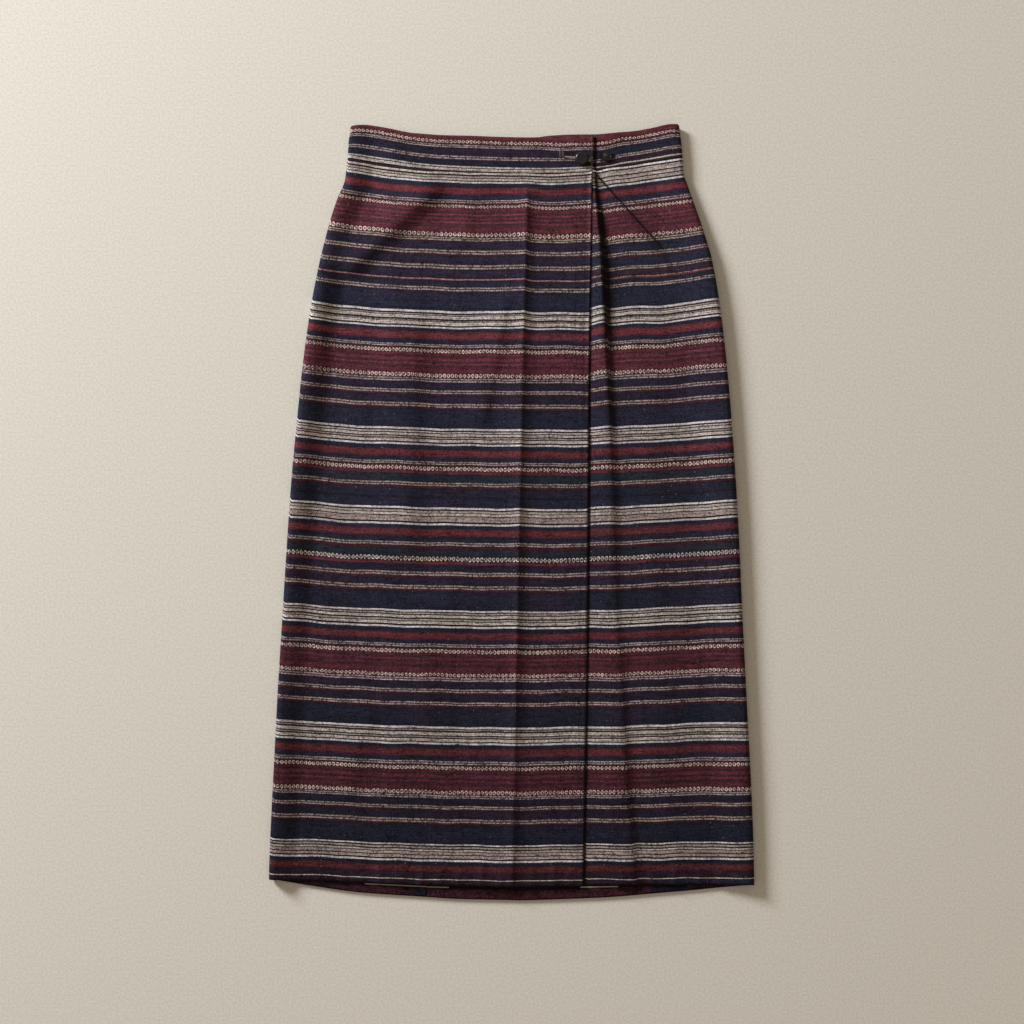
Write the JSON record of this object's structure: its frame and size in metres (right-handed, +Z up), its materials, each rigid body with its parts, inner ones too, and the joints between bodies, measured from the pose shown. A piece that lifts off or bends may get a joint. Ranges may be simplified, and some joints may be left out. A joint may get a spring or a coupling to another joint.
{
  "type": "wrap skirt",
  "caption": "Mid-length A-line wrap skirt laid flat, with a narrow waistband, a buttoned overlap and cross stripes.",
  "frame": {"origin": "middle of the outline, on the surface that the skirt lies on", "axes": "+Z up from the surface, +Y toward the waist, +X toward the side with the under panel, on the right as seen from above"},
  "size_m": [0.5531, 0.8846, 0.012],
  "materials": {
    "striped_cloth": "matte handwoven cotton with cross stripes",
    "cloth_inside": "matte, the cloth's turned inside",
    "dark_button": "worn dark gloss"
  },
  "bodies": {
    "root": {"back_panel": "striped_cloth", "hem_facing_left": "cloth_inside", "hem_facing_right": "cloth_inside", "under_front": "striped_cloth", "over_front": "striped_cloth", "waistband_back": "striped_cloth", "waistband_under": "striped_cloth", "waistband_over": "striped_cloth", "button_outer": "dark_button", "button_second": "dark_button"}
  },
  "joints": []
}
